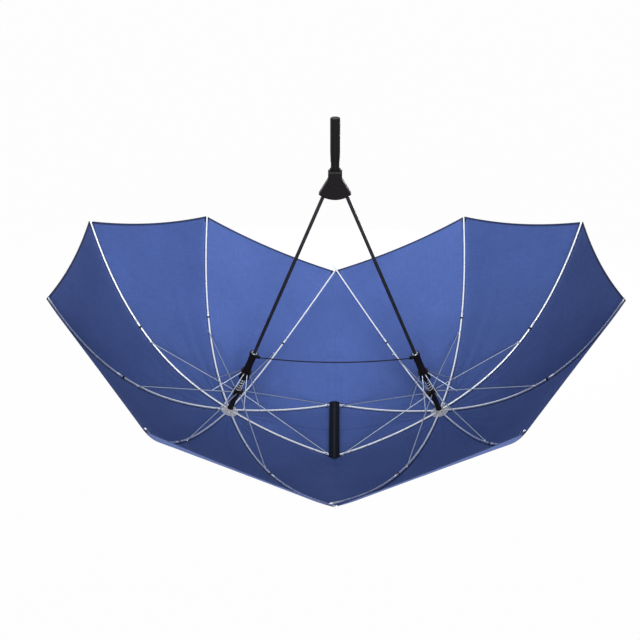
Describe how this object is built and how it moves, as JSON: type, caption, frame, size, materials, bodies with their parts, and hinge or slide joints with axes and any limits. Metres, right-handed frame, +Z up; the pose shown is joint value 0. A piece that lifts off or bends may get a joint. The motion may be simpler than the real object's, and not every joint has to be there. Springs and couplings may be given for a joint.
{
  "type": "two-person umbrella",
  "caption": "Two-person umbrella held handle up: grip, Y connector, two leaning shafts with runners, and two canopies joined along a seam",
  "frame": {"origin": "middle of the grip, on its axis, where a hand holds the umbrella", "axes": "+Z up along the grip, away from the crowns; +X from the left canopy to the right one; +Y away from the viewer"},
  "size_m": [1.1932, 1.0106, 0.8025],
  "materials": {
    "black_plastic": "moulded black plastic, satin",
    "dark_shaft": "black coated steel tube",
    "pale_plastic": "off-white moulded plastic",
    "steel_wire": "bright spring wire",
    "steel_rod": "plated steel rod",
    "navy_cloth": "fine plain weave, navy blue",
    "webbing": "black woven binding",
    "cord": "thin black braided cord"
  },
  "bodies": {
    "handle": {"handle_grip": "black_plastic", "handle_collar": "black_plastic", "y_connector": "black_plastic", "shaft_left": "dark_shaft", "shaft_right": "dark_shaft", "crown_left": "pale_plastic", "crown_right": "pale_plastic", "ferrule_left": "black_plastic", "ferrule_right": "black_plastic", "canopy_left": "navy_cloth", "canopy_right": "navy_cloth"},
    "runner_left": {"runner_left": "black_plastic"},
    "ring_left": {"ring_left": "black_plastic", "spring_left": "steel_wire"},
    "rib_left_1": {"rib_left_1": "steel_rod"},
    "stretcher_left_1": {"stretcher_left_1": "steel_rod"},
    "link_left_1": {"link_left_1": "steel_rod"},
    "rib_left_2": {"rib_left_2": "steel_rod"},
    "stretcher_left_2": {"stretcher_left_2": "steel_rod"},
    "rib_left_3": {"rib_left_3": "steel_rod"},
    "stretcher_left_3": {"stretcher_left_3": "steel_rod"},
    "link_left_3": {"link_left_3": "steel_rod"},
    "rib_left_4": {"rib_left_4": "steel_rod"},
    "stretcher_left_4": {"stretcher_left_4": "steel_rod"},
    "rib_left_5": {"rib_left_5": "steel_rod"},
    "stretcher_left_5": {"stretcher_left_5": "steel_rod"},
    "link_left_5": {"link_left_5": "steel_rod"},
    "rib_left_6": {"rib_left_6": "steel_rod"},
    "stretcher_left_6": {"stretcher_left_6": "steel_rod"},
    "rib_left_7": {"rib_left_7": "steel_rod"},
    "stretcher_left_7": {"stretcher_left_7": "steel_rod"},
    "link_left_7": {"link_left_7": "steel_rod"},
    "rib_left_8": {"rib_left_8": "steel_rod"},
    "stretcher_left_8": {"stretcher_left_8": "steel_rod"},
    "runner_right": {"runner_right": "black_plastic"},
    "ring_right": {"ring_right": "black_plastic", "spring_right": "steel_wire"},
    "rib_right_1": {"rib_right_1": "steel_rod"},
    "stretcher_right_1": {"stretcher_right_1": "steel_rod"},
    "link_right_1": {"link_right_1": "steel_rod"},
    "rib_right_2": {"rib_right_2": "steel_rod"},
    "stretcher_right_2": {"stretcher_right_2": "steel_rod"},
    "rib_right_3": {"rib_right_3": "steel_rod"},
    "stretcher_right_3": {"stretcher_right_3": "steel_rod"},
    "link_right_3": {"link_right_3": "steel_rod"},
    "rib_right_4": {"rib_right_4": "steel_rod"},
    "stretcher_right_4": {"stretcher_right_4": "steel_rod"},
    "rib_right_5": {"rib_right_5": "steel_rod"},
    "stretcher_right_5": {"stretcher_right_5": "steel_rod"},
    "link_right_5": {"link_right_5": "steel_rod"},
    "rib_right_6": {"rib_right_6": "steel_rod"},
    "stretcher_right_6": {"stretcher_right_6": "steel_rod"},
    "rib_right_7": {"rib_right_7": "steel_rod"},
    "stretcher_right_7": {"stretcher_right_7": "steel_rod"},
    "link_right_7": {"link_right_7": "steel_rod"},
    "rib_right_8": {"rib_right_8": "steel_rod"},
    "stretcher_right_8": {"stretcher_right_8": "steel_rod"},
    "centre_strap": {"centre_strap": "webbing"},
    "link_cord": {"link_cord": "cord"}
  },
  "joints": [
    {"name": "runner_left_slide", "type": "slide", "parent": "handle", "child": "runner_left", "axis": [0.3811, 0, 0.9245], "range_m": [0, 0.27718], "deforming": ["spring_left", "spring_right", "centre_strap", "link_cord"]},
    {"name": "ring_left_slide", "type": "slide", "parent": "handle", "child": "ring_left", "axis": [0.3811, 0, 0.9245], "range_m": [0, 0.30339]},
    {"name": "rib_left_1_hinge", "type": "hinge", "parent": "handle", "child": "rib_left_1", "pos_m": [-0.25401, 0.00845, -0.68874], "axis": [0.8677, -0.3453, -0.3576], "range_deg": [0, 36.38]},
    {"name": "stretcher_left_1_hinge", "type": "hinge", "parent": "ring_left", "child": "stretcher_left_1", "pos_m": [-0.23429, 0.01099, -0.63414], "axis": [-0.8677, 0.3453, 0.3576], "range_deg": [0, 45.19]},
    {"name": "link_left_1_hinge", "type": "hinge", "parent": "runner_left", "child": "link_left_1", "pos_m": [-0.20857, 0.00985, -0.57985], "axis": [-0.8677, 0.3453, 0.3576], "range_deg": [0, 14.51]},
    {"name": "rib_left_2_hinge", "type": "hinge", "parent": "handle", "child": "rib_left_2", "pos_m": [-0.26007, 0.00831, -0.68625], "axis": [0.8542, 0.3827, -0.3521], "range_deg": [0, 36.38]},
    {"name": "stretcher_left_2_hinge", "type": "hinge", "parent": "ring_left", "child": "stretcher_left_2", "pos_m": [-0.24132, 0.00844, -0.63124], "axis": [-0.8542, -0.3827, 0.3521], "range_deg": [0, 45.19]},
    {"name": "rib_left_3_hinge", "type": "hinge", "parent": "handle", "child": "rib_left_3", "pos_m": [-0.26457, 0.00344, -0.68439], "axis": [0.3538, 0.9239, -0.1458], "range_deg": [0, 36.38]},
    {"name": "stretcher_left_3_hinge", "type": "hinge", "parent": "ring_left", "child": "stretcher_left_3", "pos_m": [-0.24492, 0.00097, -0.62976], "axis": [-0.3538, -0.9239, 0.1458], "range_deg": [0, 45.19]},
    {"name": "link_left_3_hinge", "type": "hinge", "parent": "runner_left", "child": "link_left_3", "pos_m": [-0.22089, 0.00402, -0.57477], "axis": [-0.3538, -0.9239, 0.1458], "range_deg": [0, 14.51]},
    {"name": "rib_left_4_hinge", "type": "hinge", "parent": "handle", "child": "rib_left_4", "pos_m": [-0.26457, -0.00344, -0.68439], "axis": [-0.3538, 0.9239, 0.1458], "range_deg": [0, 36.38]},
    {"name": "stretcher_left_4_hinge", "type": "hinge", "parent": "ring_left", "child": "stretcher_left_4", "pos_m": [-0.24258, -0.00707, -0.63072], "axis": [0.3538, -0.9239, -0.1458], "range_deg": [0, 45.19]},
    {"name": "rib_left_5_hinge", "type": "hinge", "parent": "handle", "child": "rib_left_5", "pos_m": [-0.26007, -0.00831, -0.68625], "axis": [-0.8542, 0.3827, 0.3521], "range_deg": [0, 36.38]},
    {"name": "stretcher_left_5_hinge", "type": "hinge", "parent": "ring_left", "child": "stretcher_left_5", "pos_m": [-0.23568, -0.01096, -0.63357], "axis": [0.8542, -0.3827, -0.3521], "range_deg": [0, 45.19]},
    {"name": "link_left_5_hinge", "type": "hinge", "parent": "runner_left", "child": "link_left_5", "pos_m": [-0.21563, -0.0097, -0.57693], "axis": [0.8542, -0.3827, -0.3521], "range_deg": [0, 14.51]},
    {"name": "rib_left_6_hinge", "type": "hinge", "parent": "handle", "child": "rib_left_6", "pos_m": [-0.25401, -0.00845, -0.68874], "axis": [-0.8677, -0.3453, 0.3576], "range_deg": [0, 36.38]},
    {"name": "stretcher_left_6_hinge", "type": "hinge", "parent": "ring_left", "child": "stretcher_left_6", "pos_m": [-0.22857, -0.00872, -0.6365], "axis": [0.8677, 0.3453, -0.3576], "range_deg": [0, 45.19]},
    {"name": "rib_left_7_hinge", "type": "hinge", "parent": "handle", "child": "rib_left_7", "pos_m": [-0.2492, -0.00344, -0.69073], "axis": [-0.3538, -0.9239, 0.1458], "range_deg": [0, 36.88]},
    {"name": "stretcher_left_7_hinge", "type": "hinge", "parent": "ring_left", "child": "stretcher_left_7", "pos_m": [-0.22465, -0.00097, -0.63811], "axis": [0.3538, 0.9239, -0.1458], "range_deg": [0, 40.7]},
    {"name": "link_left_7_hinge", "type": "hinge", "parent": "runner_left", "child": "link_left_7", "pos_m": [-0.20295, -0.00402, -0.58216], "axis": [0.3538, 0.9239, -0.1458], "range_deg": [0, 12.13]},
    {"name": "rib_left_8_hinge", "type": "hinge", "parent": "handle", "child": "rib_left_8", "pos_m": [-0.2492, 0.00344, -0.69073], "axis": [0.3538, -0.9239, -0.1458], "range_deg": [0, 36.88]},
    {"name": "stretcher_left_8_hinge", "type": "hinge", "parent": "ring_left", "child": "stretcher_left_8", "pos_m": [-0.22698, 0.00707, -0.63715], "axis": [-0.3538, 0.9239, 0.1458], "range_deg": [0, 40.7]},
    {"name": "runner_right_slide", "type": "slide", "parent": "handle", "child": "runner_right", "axis": [-0.3811, 0, 0.9245], "range_m": [0, 0.27718]},
    {"name": "ring_right_slide", "type": "slide", "parent": "handle", "child": "ring_right", "axis": [-0.3811, 0, 0.9245], "range_m": [0, 0.30339]},
    {"name": "rib_right_1_hinge", "type": "hinge", "parent": "handle", "child": "rib_right_1", "pos_m": [0.25407, 0.00847, -0.68872], "axis": [0.8699, 0.3387, 0.3585], "range_deg": [0, 36.38]},
    {"name": "stretcher_right_1_hinge", "type": "hinge", "parent": "ring_right", "child": "stretcher_right_1", "pos_m": [0.22862, 0.00876, -0.63647], "axis": [-0.8699, -0.3387, -0.3585], "range_deg": [0, 45.19]},
    {"name": "link_right_1_hinge", "type": "hinge", "parent": "runner_right", "child": "link_right_1", "pos_m": [0.20863, 0.00988, -0.57982], "axis": [-0.8699, -0.3387, -0.3585], "range_deg": [0, 14.51]},
    {"name": "rib_right_2_hinge", "type": "hinge", "parent": "handle", "child": "rib_right_2", "pos_m": [0.26007, 0.00831, -0.68625], "axis": [0.8542, -0.3827, 0.3521], "range_deg": [0, 36.38]},
    {"name": "stretcher_right_2_hinge", "type": "hinge", "parent": "ring_right", "child": "stretcher_right_2", "pos_m": [0.23568, 0.01096, -0.63357], "axis": [-0.8542, 0.3827, -0.3521], "range_deg": [0, 45.19]},
    {"name": "rib_right_3_hinge", "type": "hinge", "parent": "handle", "child": "rib_right_3", "pos_m": [0.26457, 0.00344, -0.68439], "axis": [0.3538, -0.9239, 0.1458], "range_deg": [0, 36.38]},
    {"name": "stretcher_right_3_hinge", "type": "hinge", "parent": "ring_right", "child": "stretcher_right_3", "pos_m": [0.24258, 0.00707, -0.63072], "axis": [-0.3538, 0.9239, -0.1458], "range_deg": [0, 45.19]},
    {"name": "link_right_3_hinge", "type": "hinge", "parent": "runner_right", "child": "link_right_3", "pos_m": [0.22089, 0.00402, -0.57477], "axis": [-0.3538, 0.9239, -0.1458], "range_deg": [0, 14.51]},
    {"name": "rib_right_4_hinge", "type": "hinge", "parent": "handle", "child": "rib_right_4", "pos_m": [0.26457, -0.00344, -0.68439], "axis": [-0.3538, -0.9239, -0.1458], "range_deg": [0, 36.38]},
    {"name": "stretcher_right_4_hinge", "type": "hinge", "parent": "ring_right", "child": "stretcher_right_4", "pos_m": [0.24492, -0.00097, -0.62976], "axis": [0.3538, 0.9239, 0.1458], "range_deg": [0, 45.19]},
    {"name": "rib_right_5_hinge", "type": "hinge", "parent": "handle", "child": "rib_right_5", "pos_m": [0.26007, -0.00831, -0.68625], "axis": [-0.8542, -0.3827, -0.3521], "range_deg": [0, 36.38]},
    {"name": "stretcher_right_5_hinge", "type": "hinge", "parent": "ring_right", "child": "stretcher_right_5", "pos_m": [0.24132, -0.00844, -0.63124], "axis": [0.8542, 0.3827, 0.3521], "range_deg": [0, 45.19]},
    {"name": "link_right_5_hinge", "type": "hinge", "parent": "runner_right", "child": "link_right_5", "pos_m": [0.21563, -0.0097, -0.57693], "axis": [0.8542, 0.3827, 0.3521], "range_deg": [0, 14.51]},
    {"name": "rib_right_6_hinge", "type": "hinge", "parent": "handle", "child": "rib_right_6", "pos_m": [0.25407, -0.00847, -0.68872], "axis": [-0.8699, 0.3387, -0.3585], "range_deg": [0, 36.38]},
    {"name": "stretcher_right_6_hinge", "type": "hinge", "parent": "ring_right", "child": "stretcher_right_6", "pos_m": [0.23436, -0.011, -0.63411], "axis": [0.8699, -0.3387, 0.3585], "range_deg": [0, 45.19]},
    {"name": "rib_right_7_hinge", "type": "hinge", "parent": "handle", "child": "rib_right_7", "pos_m": [0.2492, -0.00344, -0.69073], "axis": [-0.3538, 0.9239, -0.1458], "range_deg": [0, 36.88]},
    {"name": "stretcher_right_7_hinge", "type": "hinge", "parent": "ring_right", "child": "stretcher_right_7", "pos_m": [0.22698, -0.00707, -0.63715], "axis": [0.3538, -0.9239, 0.1458], "range_deg": [0, 40.7]},
    {"name": "link_right_7_hinge", "type": "hinge", "parent": "runner_right", "child": "link_right_7", "pos_m": [0.20295, -0.00402, -0.58216], "axis": [0.3538, -0.9239, 0.1458], "range_deg": [0, 12.13]},
    {"name": "rib_right_8_hinge", "type": "hinge", "parent": "handle", "child": "rib_right_8", "pos_m": [0.2492, 0.00344, -0.69073], "axis": [0.3538, 0.9239, 0.1458], "range_deg": [0, 36.88]},
    {"name": "stretcher_right_8_hinge", "type": "hinge", "parent": "ring_right", "child": "stretcher_right_8", "pos_m": [0.22465, 0.00097, -0.63811], "axis": [-0.3538, -0.9239, -0.1458], "range_deg": [0, 40.7]},
    {"name": "strap_lift", "type": "slide", "parent": "handle", "child": "centre_strap", "axis": [0, 0, 1], "range_m": [0, 0.1633]},
    {"name": "cord_lift", "type": "slide", "parent": "handle", "child": "link_cord", "axis": [0, 0, 1], "range_m": [0, 0.25627]}
  ],
  "couplings": [
    {"joint": "ring_left_slide", "follows": "runner_left_slide", "ratio": 1.0946},
    {"joint": "rib_left_1_hinge", "follows": "runner_left_slide", "rad_per_m": 2.291},
    {"joint": "stretcher_left_1_hinge", "follows": "runner_left_slide", "rad_per_m": 2.8457},
    {"joint": "link_left_1_hinge", "follows": "runner_left_slide", "rad_per_m": 0.91394},
    {"joint": "rib_left_2_hinge", "follows": "runner_left_slide", "rad_per_m": 2.291},
    {"joint": "stretcher_left_2_hinge", "follows": "runner_left_slide", "rad_per_m": 2.8457},
    {"joint": "rib_left_3_hinge", "follows": "runner_left_slide", "rad_per_m": 2.291},
    {"joint": "stretcher_left_3_hinge", "follows": "runner_left_slide", "rad_per_m": 2.8457},
    {"joint": "link_left_3_hinge", "follows": "runner_left_slide", "rad_per_m": 0.91394},
    {"joint": "rib_left_4_hinge", "follows": "runner_left_slide", "rad_per_m": 2.291},
    {"joint": "stretcher_left_4_hinge", "follows": "runner_left_slide", "rad_per_m": 2.8457},
    {"joint": "rib_left_5_hinge", "follows": "runner_left_slide", "rad_per_m": 2.291},
    {"joint": "stretcher_left_5_hinge", "follows": "runner_left_slide", "rad_per_m": 2.8457},
    {"joint": "link_left_5_hinge", "follows": "runner_left_slide", "rad_per_m": 0.91394},
    {"joint": "rib_left_6_hinge", "follows": "runner_left_slide", "rad_per_m": 2.291},
    {"joint": "stretcher_left_6_hinge", "follows": "runner_left_slide", "rad_per_m": 2.8457},
    {"joint": "rib_left_7_hinge", "follows": "runner_left_slide", "rad_per_m": 2.3219},
    {"joint": "stretcher_left_7_hinge", "follows": "runner_left_slide", "rad_per_m": 2.5625},
    {"joint": "link_left_7_hinge", "follows": "runner_left_slide", "rad_per_m": 0.76403},
    {"joint": "rib_left_8_hinge", "follows": "runner_left_slide", "rad_per_m": 2.3219},
    {"joint": "stretcher_left_8_hinge", "follows": "runner_left_slide", "rad_per_m": 2.5625},
    {"joint": "runner_right_slide", "follows": "runner_left_slide", "ratio": 1},
    {"joint": "ring_right_slide", "follows": "runner_left_slide", "ratio": 1.0946},
    {"joint": "rib_right_1_hinge", "follows": "runner_left_slide", "rad_per_m": 2.291},
    {"joint": "stretcher_right_1_hinge", "follows": "runner_left_slide", "rad_per_m": 2.8457},
    {"joint": "link_right_1_hinge", "follows": "runner_left_slide", "rad_per_m": 0.91394},
    {"joint": "rib_right_2_hinge", "follows": "runner_left_slide", "rad_per_m": 2.291},
    {"joint": "stretcher_right_2_hinge", "follows": "runner_left_slide", "rad_per_m": 2.8457},
    {"joint": "rib_right_3_hinge", "follows": "runner_left_slide", "rad_per_m": 2.291},
    {"joint": "stretcher_right_3_hinge", "follows": "runner_left_slide", "rad_per_m": 2.8457},
    {"joint": "link_right_3_hinge", "follows": "runner_left_slide", "rad_per_m": 0.91394},
    {"joint": "rib_right_4_hinge", "follows": "runner_left_slide", "rad_per_m": 2.291},
    {"joint": "stretcher_right_4_hinge", "follows": "runner_left_slide", "rad_per_m": 2.8457},
    {"joint": "rib_right_5_hinge", "follows": "runner_left_slide", "rad_per_m": 2.291},
    {"joint": "stretcher_right_5_hinge", "follows": "runner_left_slide", "rad_per_m": 2.8457},
    {"joint": "link_right_5_hinge", "follows": "runner_left_slide", "rad_per_m": 0.91394},
    {"joint": "rib_right_6_hinge", "follows": "runner_left_slide", "rad_per_m": 2.291},
    {"joint": "stretcher_right_6_hinge", "follows": "runner_left_slide", "rad_per_m": 2.8457},
    {"joint": "rib_right_7_hinge", "follows": "runner_left_slide", "rad_per_m": 2.3219},
    {"joint": "stretcher_right_7_hinge", "follows": "runner_left_slide", "rad_per_m": 2.5625},
    {"joint": "link_right_7_hinge", "follows": "runner_left_slide", "rad_per_m": 0.76403},
    {"joint": "rib_right_8_hinge", "follows": "runner_left_slide", "rad_per_m": 2.3219},
    {"joint": "stretcher_right_8_hinge", "follows": "runner_left_slide", "rad_per_m": 2.5625},
    {"joint": "strap_lift", "follows": "runner_left_slide", "ratio": 0.58915},
    {"joint": "cord_lift", "follows": "runner_left_slide", "ratio": 0.92455}
  ]
}
